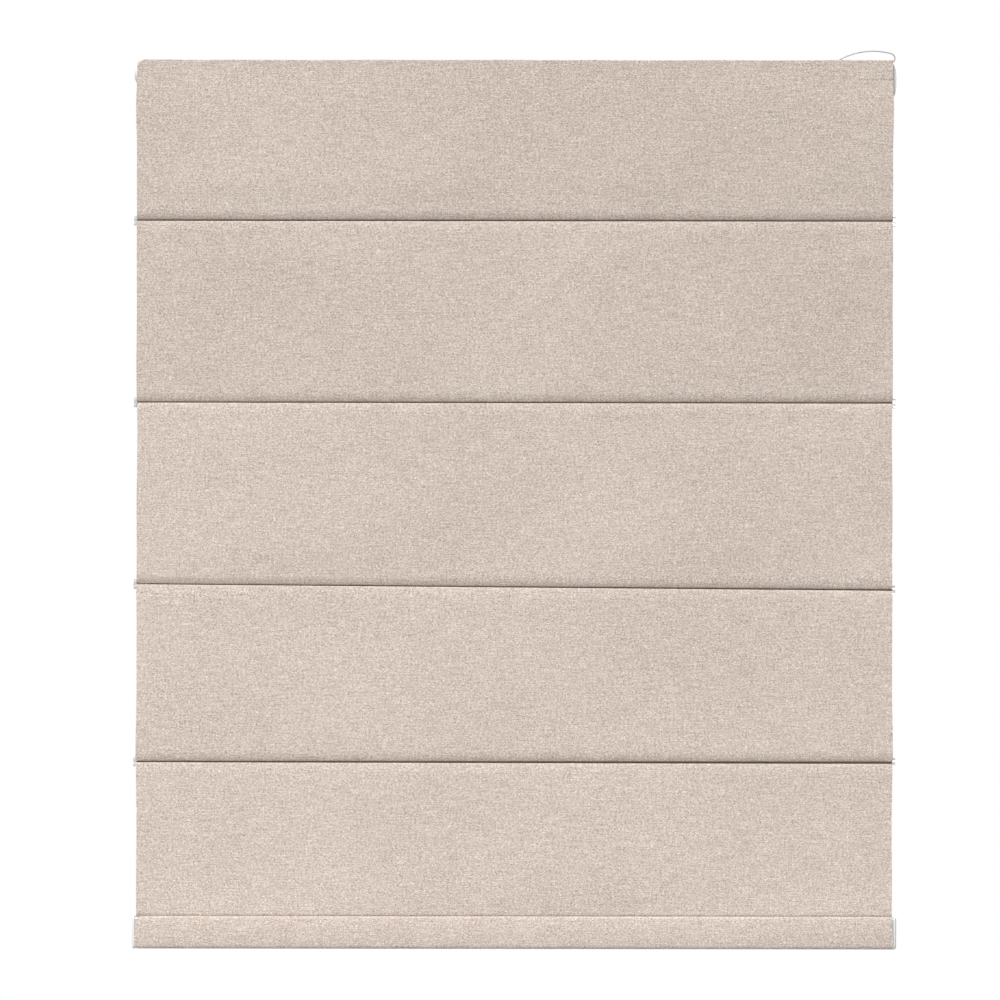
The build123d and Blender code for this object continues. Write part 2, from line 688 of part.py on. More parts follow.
# Battens and what they carry
for number, z in enumerate(batten_zs):
    save(tilted(batten(z), number), f"batten_{number + 1}")
    save(tilted(batten_caps(z), number), f"batten_caps_{number + 1}")
    save(tilted(edge_rods(z), number), f"edge_rods_{number + 1}")
    save(tilted(cord_eyes(batten_back_y, z), number), f"cord_eyes_{number + 1}")

# Cloth
save(top_panel(), "fabric_panel_1")
for number in range(1, len(batten_zs)):
    save(middle_panel(number), f"fabric_panel_{number + 1}")
save(last_panel(), f"fabric_panel_{len(panel_drops)}")

# Bottom rail
save(bottom_rail(), "bottom_rail")
save(bottom_rail_cover(), "bottom_rail_cover")
save(bottom_cap(-1), "bottom_cap_left")
save(bottom_cap(1), "bottom_cap_right")
save(bottom_rod(), "bottom_rod")
save(cord_eyes(bottom_back_y, bottom_rail_top_z - lobe_offset), "cord_anchors")
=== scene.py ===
# %% [markdown]
# A roman blind, dressed for its portrait. The solid parts were drawn elsewhere and arrive as a
# fixed frame, so the first step loads that frame and bakes each part's place into its mesh.
# Everything made below is in metres, in the same axes: X along the width, Z up, the wall at y = 0,
# and the cloth facing the camera on the side of negative Y.

# %% Load the frame
import json
import bpy
import numpy as np
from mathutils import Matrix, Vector


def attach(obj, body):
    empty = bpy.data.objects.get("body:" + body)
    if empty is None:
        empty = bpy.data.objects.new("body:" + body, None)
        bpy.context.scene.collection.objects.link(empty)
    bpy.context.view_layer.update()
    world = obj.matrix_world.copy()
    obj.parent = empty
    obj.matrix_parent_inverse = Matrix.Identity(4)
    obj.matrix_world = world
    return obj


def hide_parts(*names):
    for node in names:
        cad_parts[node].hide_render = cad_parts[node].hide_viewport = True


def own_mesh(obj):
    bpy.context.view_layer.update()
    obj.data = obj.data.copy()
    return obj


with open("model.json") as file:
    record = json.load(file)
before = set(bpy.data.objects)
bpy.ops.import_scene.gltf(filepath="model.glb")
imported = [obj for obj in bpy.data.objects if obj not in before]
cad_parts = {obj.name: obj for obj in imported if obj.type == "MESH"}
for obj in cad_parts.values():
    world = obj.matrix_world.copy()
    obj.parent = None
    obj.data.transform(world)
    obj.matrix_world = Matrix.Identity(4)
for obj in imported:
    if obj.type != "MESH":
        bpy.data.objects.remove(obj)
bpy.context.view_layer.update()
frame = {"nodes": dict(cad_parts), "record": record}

# %% [markdown]
# The cloth of the blind is five panels under one another, with a seam below each of the first
# four and a covered rail below the last. One seam hangs a little lower on the right. These sizes
# repeat the drawing of the solid parts. Each panel could be modelled by hand, but with the sizes
# in arrays one function can shape them all.

# %% Measures of the cloth
MM = 0.001
half_width = 600 * MM
cloth_thick = 0.8 * MM
cloth_y = -53.4 * MM
cloth_top = 21.1 * MM
cloth_drop = 1359 * MM
panel_shares = np.array([0.1876, 0.2127, 0.2156, 0.2046, 0.1795])
seam_z = cloth_top - np.cumsum(cloth_drop * panel_shares)
seam_tilt = np.array([0, 0, 8, 0, 0]) * MM
rail_top = seam_z[-1]
panel_count = len(panel_shares)
last_panel = panel_count - 1
print("seams at", np.round(seam_z, 4))

# %% [markdown]
# A mesh can be built face by face with Blender's editing tools, but it can also be filled from
# whole arrays, which is quick and exact. This helper takes points, four-cornered faces and a flat
# map of the cloth, turns the faces round if they would point inwards (the signed volume tells),
# and shades the surface smoothly except across sharp folds.

# %% Helper: arrays into a mesh object
def signed_volume(points, faces):
    """A sixth of the sum of a . (b x c) over the triangles of all faces: positive if they face out."""
    a, b, c, d = (points[faces[:, k]] for k in range(4))
    first = np.einsum("ij,ij->i", a, np.cross(b, c))
    second = np.einsum("ij,ij->i", a, np.cross(c, d))
    return (first.sum() + second.sum()) / 6


def mesh_object(name, points, faces, flat_map=None, sharp_angle=50):
    """Object at the origin whose mesh holds the given points and faces."""
    points = points.reshape(-1, 3)
    if signed_volume(points, faces) < 0:
        faces = faces[:, ::-1]
    mesh = bpy.data.meshes.new(name)
    mesh.from_pydata(points.tolist(), [], faces.tolist())
    if flat_map is not None:
        layer = mesh.uv_layers.new(name="cloth_map")
        layer.data.foreach_set("uv", flat_map.reshape(-1, 2)[faces.ravel()].ravel())
    mesh.polygons.foreach_set("use_smooth", np.ones(len(faces), dtype=bool))
    mesh.set_sharp_from_angle(angle=np.radians(sharp_angle))
    mesh.update()
    made = bpy.data.objects.new(name, mesh)
    bpy.context.scene.collection.objects.link(made)
    print(name, "points", len(points), "faces", len(faces))
    return made


# %% [markdown]
# Sheets and tubes have the same kind of skin: rows of points, each row a closed ring. Numbering the
# points row by row gives all faces at once from a grid of row and column numbers, where a loop over
# the faces would be slow.

# %% Helper: faces of a ringed skin
def ring_faces(rows, ring):
    """Quads between neighbouring rows of a closed ring of points, as index arrays."""
    row, place = np.meshgrid(np.arange(rows - 1), np.arange(ring), indexing="ij")
    after = (place + 1) % ring
    upper = row * ring
    lower = upper + ring
    return np.stack((upper + place, upper + after, lower + after, lower + place), -1).reshape(-1, 4)


def end_faces(rows, ring):
    """Quads that close the first and the last ring: point j meets point ring - 1 - j across it."""
    j = np.arange(ring // 2 - 1)
    end = np.stack((j, j + 1, ring - 2 - j, ring - 1 - j), -1)
    return np.concatenate((end[:, ::-1], end + (rows - 1) * ring))


def closed_skin(rows, ring):
    """All faces of a skin that is closed at both ends."""
    return np.concatenate((ring_faces(rows, ring), end_faces(rows, ring)))


print("faces of 3 rings of 10 points:", len(closed_skin(3, 10)))

# %% [markdown]
# Cloth edges are drawn as a line in the side view (y and z): straight runs and round arcs. They could
# be traced as a long list of points, but an arc that starts in a known direction and turns by a known
# angle needs only its radius, and it meets the next piece without a kink.

# %% Helper: straight runs and arcs of the cloth's side view
def arc(start, heading, radius, turn, count=9):
    """Arc in (y, z). The centre lies a radius to the side it turns to, and each point is the centre
    plus that radius at an angle that grows evenly from heading to heading + turn (degrees)."""
    side = np.sign(turn)
    angle = np.radians(heading + turn * np.linspace(0, 1, count))
    out = np.stack((np.sin(angle), -np.cos(angle)), -1) * radius * side
    return np.asarray(start) - out[0] + out


def run(start, end, count=2, crowding=1.0):
    """Points from start to end at shares t ** crowding, closer together at the start if it is above 1."""
    share = np.linspace(0, 1, count)[:, None] ** crowding
    return np.asarray(start) * (1 - share) + np.asarray(end) * share


def join(*pieces):
    """One line from several that meet end to end, with the doubled points left out."""
    line = np.concatenate(pieces)
    step = np.linalg.norm(np.diff(line, axis=0), axis=1)
    return line[np.concatenate(([True], step > 1e-7))]


print("a quarter turn from heading 0 ends at", np.round(arc((0, 0), 0, 1, 90)[-1], 3))

# %% [markdown]
# At a seam both panels go into the slot of a batten and are wound round a rod there. The panel above
# eases back in a long curve before it turns in. The panel below only leans back a little, so its top
# catches the light. A cloth simulation could find such bends, but the slot leaves the cloth no choice,
# so a few arcs are enough. Each edge comes in two lines: the part one sees, and the part that is wound.

# %% Edges that a batten holds
batten_y = cloth_y + 10.8 * MM
run_offset = 2.3 * MM
roll_radius = 1.8 * MM
roll_turn = 290
roll_points = 19
turn_radius = 4 * MM
ease_radius = 30 * MM
ease_turn = 28
lean_radius = 60 * MM
lean_turn = 14


def bend_height(radius, turn):
    """Height of an arc that turns away from upright, followed by the tight turn to level."""
    rise = np.sin(np.radians(turn))
    return radius * rise + turn_radius * (1 - rise)


def wound_line(start, run_z, turn):
    """Run from a start back to the batten's middle, and a wind round its rod by an angle."""
    middle = (batten_y, run_z)
    return join(run(start, middle), arc(middle, 0, roll_radius, turn, roll_points))


def hanging_edge(seam):
    """Lower edge: a long ease back and a tight turn, then the run into the batten and the wind."""
    run_z = seam + run_offset
    ease = arc((cloth_y, run_z + bend_height(ease_radius, ease_turn)), -90, ease_radius, ease_turn)
    turn = arc(ease[-1], ease_turn - 90, turn_radius, 90 - ease_turn)
    return join(ease, turn), wound_line(turn[-1], run_z, roll_turn)


def carried_edge(seam):
    """Upper edge, drawn from the panel upwards: a slight lean back and a tight turn, then run and wind."""
    run_z = seam - run_offset
    lean = arc((cloth_y, run_z - bend_height(lean_radius, lean_turn)), 90, lean_radius, -lean_turn)
    turn = arc(lean[-1], 90 - lean_turn, turn_radius, lean_turn - 90)
    return join(lean, turn), wound_line(turn[-1], run_z, -roll_turn)


print("an ease is", round(bend_height(ease_radius, ease_turn), 4), "tall")

# %% [markdown]
# The first panel is folded over the headrail's corner, more sharply than in the drawing, as stiff
# cloth is when it is pressed. The last panel goes straight down into a slot of the bottom rail and is
# wound round a rod there. Both are made of the same runs and arcs and come in the same two lines, so
# that the next function can treat all edges alike.

# %% Edges at the headrail and in the bottom rail
wrap_radius = 1.2 * MM
wrap_run = 9 * MM
slot_entry = 2 * MM
rail_bore_z = rail_top - 7.1 * MM


def wrapped_edge():
    """Upper edge of the first panel: a turn over the corner and a short run back, not wound."""
    turn = arc((cloth_y, cloth_top - cloth_thick / 2 - wrap_radius), 90, wrap_radius, -90)
    back = turn[-1] + np.array((wrap_run, 0))
    return join(turn, run(turn[-1], back, count=4)), np.zeros((0, 2))


def sewn_edge():
    """Lower edge of the last panel: straight into the rail's slot, then on and wound round its rod."""
    mouth = np.array(((cloth_y, rail_top - slot_entry),))
    bore = (cloth_y, rail_bore_z)
    return mouth, join(run(mouth[0], bore, count=4), arc(bore, -90, roll_radius, roll_turn, roll_points))


print("top fold has", len(wrapped_edge()[0]), "points")

# %% [markdown]
# A whole panel is its upper edge, a straight fall and its lower edge. Its rows of points could be
# spaced evenly, but then more would be needed for the same smoothness, so they are crowded where the
# shape changes: below an upper edge, and on the last panel above the rail.

# %% Side view of a whole panel
fall_points = 52
crowded_below_edge = 1.6
crowded_above_rail = 2.2


def panel_line(number):
    """Middle line of one panel from its upper edge to its lower edge, the heights between which it
    falls, and the two places in the line where the cloth leaves and enters its holders. At a slanting
    seam the whole shaped edge counts as held, so that the part between the two places is level."""
    upper, upper_wound = carried_edge(seam_z[number - 1]) if number else wrapped_edge()
    lower, lower_wound = hanging_edge(seam_z[number]) if number < last_panel else sewn_edge()
    if number < last_panel:
        straight = run(upper[0], lower[0], fall_points, crowded_below_edge)
    else:
        straight = run(lower[0], upper[0], fall_points, crowded_above_rail)[::-1]
    line = join(upper_wound[::-1], upper[::-1], straight, lower, lower_wound)
    leaves = max(len(upper_wound) - 1, 0)
    enters = len(line) - len(lower_wound)
    if number and seam_tilt[number - 1]:
        leaves += len(upper) - 1
    if seam_tilt[number]:
        enters -= len(lower) - 1
    return line, (upper[0][1], lower[0][1]), (leaves, enters)


line, fall, places = panel_line(1)
print("second panel: points", len(line), "fall", np.round(fall, 4), "free", places)

# %% [markdown]
# Woven cloth never hangs dead flat. A cloth simulation would show that, but it is slow and hard to
# repeat. A few long sine waves with fixed random directions are added up instead: cheap, smooth and
# the same on every run.

# %% Helper: slow waves in the cloth
def slow_waves(x, z, seed, shortest=0.18, longest=0.9, count=7):
    """Sum of sines of (x, z) along seeded directions, divided by their number's square root."""
    rng = np.random.default_rng(seed)
    waves = 2 * np.pi / rng.uniform(shortest, longest, count)
    directions = rng.uniform(0, 2 * np.pi, count)
    phases = rng.uniform(0, 2 * np.pi, count)
    total = np.zeros(np.broadcast(x, z).shape)
    for wave, direction, phase in zip(waves, directions, phases):
        total = total + np.sin(wave * (x * np.cos(direction) + z * np.sin(direction)) + phase)
    return total / np.sqrt(count)


print("wave sample", np.round(slow_waves(np.linspace(-0.6, 0.6, 4), 0.0, 1), 2))

# %% [markdown]
# A panel is its side view carried along the width. A plane with a Solidify modifier would do for a
# flat cloth, but here the edges are wound, so the line is doubled into a closed ring half a thickness
# to each side. The sheet then has a front, a back and real edges, and every ring point becomes a row
# of points across the blind. The same function makes a part of a line, such as a held edge, and the
# cover of the bottom rail.

# %% Helper: a sheet of cloth from its side view
def cloth_sheet(name, middle, half, shift, bolt, part=slice(None), columns=121):
    """Sheet with ring = part of the middle line +- half the thickness along its normal, swept from
    x = -half to x = half. shift(x, y, z, across) returns the moved x, y and z of all points, and bolt
    is where the cut starts on the bolt of cloth, so that no two pieces show the same weave."""
    step = np.gradient(middle, axis=0)
    step /= np.linalg.norm(step, axis=1)[:, None]
    normal = np.stack((step[:, 1], -step[:, 0]), -1) * cloth_thick / 2
    ring = np.concatenate(((middle + normal)[part], (middle - normal)[part][::-1]))
    length = np.concatenate(([0], np.cumsum(np.linalg.norm(np.diff(middle, axis=0), axis=1))))
    along = np.concatenate((length[part], length[part][::-1]))
    across = np.linspace(-1, 1, columns)[:, None]
    x = across * half + 0 * ring[:, 0]
    y = ring[:, 0] + 0 * across
    z = ring[:, 1] + 0 * across
    points = np.stack(shift(x, y, z, across), -1)
    flat = np.stack((x, bolt + along + 0 * across), -1)
    made = mesh_object(name, points, closed_skin(columns, len(ring)), flat)
    print(name, "from", round(along.min(), 4), "to", round(along.max(), 4), "of", round(length[-1], 4))
    return made, length[-1]


# %% [markdown]
# Now what sets the real panels apart from flat ones. They stand out in waves of about a millimetre,
# which fade where the cloth is held. The waves of the first panel only go forward, because the
# headrail is right behind it. The last panel is a little full where it meets the rail. A bump in the
# finish could fake all this from the front, but real moves of the points look right from every side.

# %% How far a panel stands out
wave_height = 1.1 * MM
wave_seed = 11
swell_limit = 1.6
swell_forward = 0.6
edge_fade = 45 * MM
top_fade = 1.6 * edge_fade
fullness = 1.6 * MM
fullness_rise = 1.5 * MM
fullness_fall = 60 * MM


def held_fade(number, z, fall):
    """0 where the panel is held and 1 away from it: s * s * (3 - 2 s) of the product of two slopes."""
    hold = edge_fade if number else top_fade
    slopes = np.clip((fall[0] - z) / hold, 0, 1) * np.clip((z - fall[1]) / edge_fade, 0, 1)
    return slopes * slopes * (3 - 2 * slopes)


def standing_out(number, x, z, fade):
    """Way forward: wave height times fade times the sum of waves and a constant. The last panel adds
    its fullness times 1 - exp(-height / rise) times exp(-height / fall)."""
    swell = np.clip(slow_waves(x, z, wave_seed + number), -swell_limit, swell_limit)
    out = wave_height * fade * (swell + (swell_forward if number else swell_limit))
    if number == last_panel:
        above = np.clip(z - rail_top, 0, None)
        out = out + fullness * (1 - np.exp(-above / fullness_rise)) * np.exp(-above / fullness_fall)
    return out


print("waves stand out by at most", round(2 * swell_limit * wave_height, 4))

# %% [markdown]
# The edges at a seam are not ruled lines. Where the seam slants, they slant with it. They are also a
# little full: the front of an upper edge stands above its slot by a crest, and the front of a lower
# edge hangs below it by a sag, so only a thin dark gap stays between them. It could be sculpted, but
# one height at the left and one at the right of each edge say the same in numbers. The fullness ends
# before the slot, where the cloth has to be exact.

# %% How the edges of a panel rise and sink
full_effect = 6.7 * MM
edge_crest = np.array(((0, 0), (1.9, 1.9), (2.2, 2.0), (2.8, 1.9), (2.1, 0.6))) * MM
edge_sag = np.array(((1.1, 1.1), (1.4, 1.2), (1.5, 1.1), (1.2, 0.6), (0, 0))) * MM
crest_depth = (5.6 * MM, 3.0 * MM)
sag_depth = (7.0 * MM, 4.6 * MM)


def smooth_step(value, zero, one):
    """s * s * (3 - 2 s) of the share s by which a value has gone from zero to one."""
    share = np.clip((value - zero) / (one - zero), 0, 1)
    return share * share * (3 - 2 * share)


def edge_rise(number, x, y, z, across, fall):
    """Way upwards: crest minus sag minus slant. Each grows as a smooth step from the end of the straight
    fall to the full effect near the seam. The slant is the tilt times x over the width, and crest and
    sag fade as a smooth step of the depth behind the cloth's plane."""
    upper_tilt = seam_tilt[number - 1] if number else 0
    upper_seam = seam_z[number - 1] if number else cloth_top
    near_upper = smooth_step(z, fall[0], upper_seam - full_effect)
    near_lower = smooth_step(z, fall[1], seam_z[number] + full_effect)
    slant = x / (2 * half_width) * (upper_tilt * near_upper + seam_tilt[number] * near_lower)
    crest = np.interp(across, (-1, 1), edge_crest[number]) * smooth_step(y - cloth_y, *crest_depth)
    sag = np.interp(across, (-1, 1), edge_sag[number]) * smooth_step(y - cloth_y, *sag_depth)
    return crest * near_upper - sag * near_lower - slant


print("crests", edge_crest.max(axis=1), "sags", edge_sag.max(axis=1))

# %% [markdown]
# The sides of the panels sway by about a millimetre. The first panel is rounded at its upper left
# corner, and its top edge is not quite straight. A Boolean could cut the corner off, but moving the
# points inwards keeps the rows of the sheet whole.

# %% Sides, corner and top edge
side_sway = 0.7 * MM
side_seed = 31
side_waves = (0.1, 0.4)
corner_radius = 15 * MM
top_lift = 0.5 * MM
top_seed = 57
top_waves = (0.12, 0.5)
top_from = 12 * MM
top_over = 8 * MM


def corner_cut(z):
    """How far the round corner is cut back at a height: radius minus root of radius^2 - height^2."""
    over = np.clip(z - (cloth_top - corner_radius), 0, corner_radius)
    return corner_radius - np.sqrt(corner_radius ** 2 - over ** 2)


def top_rise(x, z):
    """Lift of the top edge: a slope up to it, times one plus slow waves along it."""
    crown = np.clip((z - top_from) / top_over, 0, 1)
    return top_lift * crown * (1 + np.clip(slow_waves(x, 0, top_seed, *top_waves), -1, 1))


def panel_shift(number, fall):
    """The moves of one panel as a function of its points."""
    def shift(x, y, z, across):
        """x plus sway, y minus the way forward, z plus the rise of the edges. On the first panel, x also
        gets the corner's cut, which fades to nothing at the right, and z the rise of the top edge."""
        fade = held_fade(number, z, fall)
        sway = side_sway * slow_waves(0 * x, z, side_seed + number, *side_waves) * across
        moved_x = x + (sway if number else sway * fade)
        moved_y = y - standing_out(number, x, z, fade)
        moved_z = z + edge_rise(number, x, y, z, across, fall)
        if number == 0:
            moved_x = moved_x + corner_cut(z) * (1 - across) / 2
            moved_z = moved_z + top_rise(x, z)
        return moved_x, moved_y, moved_z

    return shift


print("corner cut at the top", round(float(corner_cut(cloth_top)), 4))

# %% [markdown]
# With these helpers the five panels are one loop. The held edges are pieces of their own, because
# they move with the batten or the rail that holds them when the blind is raised.

# %% Cloth panels
bolt_step = 0.5
panels = []
upper_edges = []
lower_edges = []
falls = np.zeros((panel_count, 2))


def cut_piece(name, number, line, fall, part):
    """One piece of a panel, from a part of its line, with the panel's moves and place on the bolt."""
    moves = panel_shift(number, fall)
    return cloth_sheet(f"{name}_{number + 1}", line, half_width, moves, bolt_step * number, part)


for number in range(panel_count):
    line, fall, (leaves, enters) = panel_line(number)
    panel, cut = cut_piece("cloth_panel", number, line, fall, slice(leaves, enters + 1))
    lower, cut = cut_piece("held_lower_edge", number, line, fall, slice(enters, None))
    panels.append(panel)
    lower_edges.append(lower)
    falls[number] = fall
    if number:
        upper, cut = cut_piece("held_upper_edge", number, line, fall, slice(leaves + 1))
        upper_edges.append(upper)

# %% [markdown]
# The bottom rail is a bar in a sleeve of the same cloth: from the slot in its top, over the bowed
# front, under the bar and up its back. Its side view could be traced as a curve, but a chain of arcs
# fits the bar exactly. The small corner arcs touch the large bow from inside, which gives the angle
# they turn by.

# %% Side view of the bottom rail's cover
cover_half = 25.6 * MM
cover_middle_z = rail_top - 26 * MM
cover_back = cloth_y + 7.6 * MM
bow_radius = 156.7 * MM
corner_arc = 4.2 * MM
nose_arc = 6.7 * MM
cover_start = np.array((cloth_y - 1 * MM, cover_middle_z + cover_half))
cover_end = (cover_back, rail_top - 13.1 * MM)
bow_centre_y = cloth_y - 8.1 * MM + bow_radius

corner_lean = np.arcsin((cover_half - corner_arc) / (bow_radius - corner_arc))
nose_lean = np.arcsin((cover_half - nose_arc) / (bow_radius - nose_arc))
corner_y = bow_centre_y - (bow_radius - corner_arc) * np.cos(corner_lean)
corner_deg = np.degrees(corner_lean)
nose_deg = np.degrees(nose_lean)
front_corner = arc((corner_y, cover_start[1]), 180, corner_arc, 90 - corner_deg)
front_bow = arc(front_corner[-1], 270 - corner_deg, bow_radius, corner_deg + nose_deg, count=17)
nose = arc(front_bow[-1], 270 + nose_deg, nose_arc, 90 - nose_deg)
back_corner = arc((cover_back - corner_arc, nose[-1][1]), 0, corner_arc, 90)
cover_line = join(run(cover_start, front_corner[0]), front_corner, front_bow, nose,
                  run(nose[-1], back_corner[0]), back_corner, run(back_corner[-1], cover_end, count=10))
print("cover line of", len(cover_line), "points")

# %% [markdown]
# The sleeve is the same kind of sheet as a panel, but tight, so it has only faint waves. Its ends are
# not square: the left one has rounded corners, and the right one leans. As at the top of the blind,
# they are shaped by moving points and not by cutting.

# %% Cloth cover of the bottom rail
cover_width = 1204 * MM
cover_bolt = 2.5
cover_wave = 0.15 * MM
cover_seed = 71
cover_waves = (0.05, 0.3)
cover_front = 5 * MM
upper_left = np.array((2, 24, 10)) * MM
lower_left = np.array((18, 8, 6)) * MM
lower_right = np.array((22, 4, 3)) * MM
right_lean = 4 * MM


def cut_back(height, corner):
    """How far a corner is cut back at a height: a quarter of an ellipse. A corner is given by the height
    where it starts, how tall it is and how wide."""
    starts, tall, wide = corner
    return wide * (1 - np.sqrt(1 - np.clip((height - starts) / tall, 0, 1) ** 2))


def cover_shift(x, y, z, across):
    """Moves of the cover: y by waves on its front only, x by the shape of its two ends."""
    front = np.clip((cloth_y - y) / cover_front, 0, 1)
    moved_y = y - cover_wave * front * (1 + slow_waves(x, z, cover_seed, *cover_waves))
    above = z - cover_middle_z
    left = cut_back(above, upper_left) + cut_back(-above, lower_left)
    right = right_lean * (above + cover_half) / (2 * cover_half) + cut_back(-above, lower_right)
    return x + left * (1 - across) / 2 - right * (1 + across) / 2, moved_y, z


rail_cover, cover_cut = cloth_sheet("bottom_rail_cloth", cover_line, cover_width / 2,
                                    cover_shift, cover_bolt)
print("cover is cut", round(float(cover_cut), 4), "long")

# %% [markdown]
# Thread and taut cord are tubes: rings of points round a path, with closed ends. A bevelled curve
# would do as well, but with arrays the radius can change along the path, and many equal tubes share
# one list of faces, shifted by the number of points.

# %% Helper: tubes
def tube(path, radius, side_a, side_b, sides=10):
    """Ring points: path + radius (cos a . side_a + sin a . side_b), with a round the path."""
    turn = np.linspace(0, 2 * np.pi, sides, endpoint=False)[None, :, None]
    radius = np.broadcast_to(np.asarray(radius, float), (len(path),))[:, None, None]
    return path[:, None] + radius * (np.cos(turn) * side_a + np.sin(turn) * side_b)


def tubes_object(name, tubes):
    """One object from several tubes with equally many rings and sides."""
    rings, sides = tubes[0].shape[:2]
    faces = closed_skin(rings, sides)
    all_faces = np.concatenate([faces + rings * sides * k for k in range(len(tubes))])
    return mesh_object(name, np.concatenate(tubes), all_faces)


axis_x = np.array((1, 0, 0))
axis_y = np.array((0, 1, 0))
axis_z = np.array((0, 0, 1))
print("points round a tube", tube(np.zeros((2, 3)), 1.0, axis_y, axis_z).shape[1])

# %% [markdown]
# Only a little sewing shows: a short row of stitches near the upper right corner, where the top hem
# is closed. They could be painted on, but real stitches stand on the cloth and throw small shadows.
# One stitch is a slim tube along X whose radius swells and shrinks as the root of a sine, half sunk
# into the cloth.

# %% Stitches of the top hem
stitch_z = -8.5 * MM
stitch_xs = np.arange(546, 599, 4.4) * MM
stitch_length = 3.2 * MM
stitch_radius = 0.75 * MM
stitch_rings = 7

share = np.linspace(0.03, 0.97, stitch_rings)
swell = stitch_radius * np.sqrt(np.sin(np.pi * share))
cloth_front = np.full(stitch_rings, cloth_y - cloth_thick / 2)
level = np.full(stitch_rings, stitch_z)
stitches = []
for x in stitch_xs:
    path = np.column_stack((x + stitch_length * (share - 0.5), cloth_front, level))
    stitches.append(tube(path, swell, axis_y, axis_z))
hem_stitches = tubes_object("hem_stitches", stitches)
print("stitches", len(stitches))

# %% [markdown]
# The control cord is a free cord: a loop that leaves the control unit at the back, is thrown over
# the top right corner, and hangs behind the cloth. Its route repeats the drawing's points. Straight
# pieces between them would look like bent wire, so the points control a NURBS curve, which gives one
# smooth line, and a round bevel gives its thickness.

# %% Control cord
cord_diameter = 2.2 * MM
cord_route = np.array((
    (588.5, -19.0, 11.5), (588.5, -11.5, 11.5), (591.5, -6.5, 16.5), (602.0, -6.8, 21.5),
    (608.5, -7.2, 28.0), (606.5, -7.8, 36.5), (596.0, -8.5, 39.5), (574.0, -9.5, 42.4),
    (548.0, -9.5, 39.6), (518.0, -8.5, 29.0), (499.0, -7.5, 9.0), (490.5, -7.0, -22.0),
    (488.5, -8.0, -75.0), (491.0, -7.5, -130.0), (488.5, -8.5, -185.0), (491.5, -8.0, -240.0),
    (489.0, -8.5, -295.0), (492.0, -8.0, -350.0), (490.0, -8.5, -405.0), (495.0, -8.0, -460.0),
    (506.0, -8.5, -505.0), (527.0, -9.0, -532.0), (552.0, -9.0, -534.0), (571.0, -8.5, -512.0),
    (579.0, -8.0, -468.0), (583.0, -8.5, -415.0), (582.0, -8.0, -360.0), (585.0, -8.5, -305.0),
    (584.0, -8.0, -250.0), (587.0, -8.5, -195.0), (586.0, -8.0, -145.0), (588.5, -8.0, -100.0),
    (587.5, -7.0, -58.0), (588.0, -6.2, -31.0), (588.5, -6.2, -16.8), (588.5, -11.5, -11.5),
    (588.5, -19.0, -11.5),
)) * MM


def smooth_cord(name, route, diameter):
    """Curve object: one open NURBS spline of order 3 from the first point to the last, with a bevel."""
    curve = bpy.data.curves.new(name, "CURVE")
    curve.dimensions = "3D"
    spline = curve.splines.new("NURBS")
    spline.points.add(len(route) - 1)
    spline.points.foreach_set("co", np.column_stack((route, np.ones(len(route)))).ravel())
    spline.order_u = 3
    spline.use_endpoint_u = True
    spline.resolution_u = 8
    curve.bevel_depth = diameter / 2
    curve.bevel_resolution = 3
    made = bpy.data.objects.new(name, curve)
    bpy.context.scene.collection.objects.link(made)
    return made


loop_cord = smooth_cord("control_cord_loop", cord_route, cord_diameter)
print("control cord points", len(cord_route))

# %% [markdown]
# Three lift cords carry the bottom rail. They are taut, so each is a straight tube from its drum to
# the bead under its anchor. The bead could be a piece of its own, but a tube whose radius grows at
# its end gives cord and bead at once.

# %% Lift cords
lift_xs = np.array((-400, 0, 400)) * MM
lift_y = -26 * MM
lift_radius = 0.7 * MM
lift_rings = 40
bead_top = rail_top - 7.0 * MM
bead_depths = np.array((0.01, 0.6, 3.4, 4.0)) * MM
bead_radii = np.array((1.4, 2.2, 2.2, 1.4)) * MM

lift_heights = np.concatenate((np.linspace(0, bead_top, lift_rings), bead_top - bead_depths))
lift_radii = np.concatenate((np.full(lift_rings, lift_radius), bead_radii))
rings = len(lift_heights)
straight = []
for x in lift_xs:
    path = np.column_stack((np.full(rings, x), np.full(rings, lift_y), lift_heights))
    straight.append(tube(path, lift_radii, axis_x, axis_y, sides=12))
lift_falls = tubes_object("lift_cords", straight)
print("lift cords", len(straight), "down to", round(lift_heights[-1], 4))

# %% [markdown]
# Two turns of each cord are left on its drum when the blind is down. A Screw modifier could make them,
# but the tube helper only needs a path: a helix, which is a circle that moves along X as it turns.
# The turns are apart from the straight cords, because they go round with the drum.

# %% Turns of the lift cords on their drums
drive_y = -34 * MM
wind_radius = 8 * MM
wind_pitch = 1.8 * MM
wind_turns = 2
wind_rings = 97

angle = np.linspace(0, 2 * np.pi * wind_turns, wind_rings)
outward = np.column_stack((0 * angle, np.cos(angle), np.sin(angle)))
coils = []
for x in lift_xs:
    path = np.array((x, drive_y, 0)) + wind_radius * outward
    path[:, 0] += wind_pitch * angle / (2 * np.pi)
    coils.append(tube(path, lift_radius, outward[:, None], axis_x))
lift_turns = tubes_object("lift_cord_turns", coils)
print("turns", wind_turns, "on each of", len(coils), "drums")

# %% [markdown]
# Finishes. Pictures could be wrapped round the pieces, but every material here is made of nodes on
# the piece's own coordinates, which stay sharp at any distance. A small helper keeps the wiring
# short: it adds a node, sets its inputs and links those that are given as sockets.

# %% Helper: materials from nodes
def input_of(node, key):
    """Input of a node by name, with _ for a space, or by number for a key such as i0."""
    if key[0] == "i" and key[1:].isdigit():
        return node.inputs[int(key[1:])]
    return node.inputs[key.replace("_", " ")]


